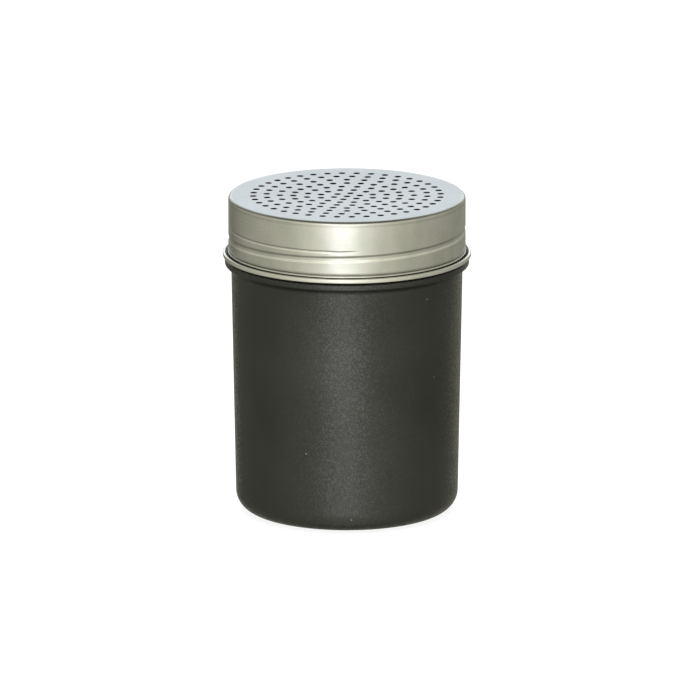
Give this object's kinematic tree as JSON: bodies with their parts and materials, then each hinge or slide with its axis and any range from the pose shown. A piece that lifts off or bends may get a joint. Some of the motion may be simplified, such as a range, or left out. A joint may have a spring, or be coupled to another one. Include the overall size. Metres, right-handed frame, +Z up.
{
  "type": "perforated-top shaker can",
  "caption": "Dark coated metal shaker can with a bare stainless screw cap whose flat top is perforated with rings of small holes.",
  "frame": {"origin": "middle of the base, on the surface the tin stands on", "axes": "+Z up along the can's axis, -Y the front"},
  "size_m": [0.0732, 0.0732, 0.095],
  "materials": {
    "coating": "satin powder coat",
    "steel": "satin brushed"
  },
  "bodies": {
    "can": {"can_body": "coating", "threaded_neck": "steel"},
    "ring": {"rim_ring": "steel"},
    "cap": {"shaker_cap": "steel"}
  },
  "joints": [
    {"name": "cap_turn", "type": "hinge", "parent": "can", "child": "ring", "pos_m": [0, 0, 0.0775], "axis": [0, 0, 1], "range_deg": [0, 1080]},
    {"name": "cap_rise", "type": "slide", "parent": "ring", "child": "cap", "axis": [0, 0, 1], "range_m": [0, 0.01651]}
  ],
  "couplings": [
    {"joint": "cap_rise", "follows": "cap_turn", "m_per_rad": 0.00087535}
  ]
}
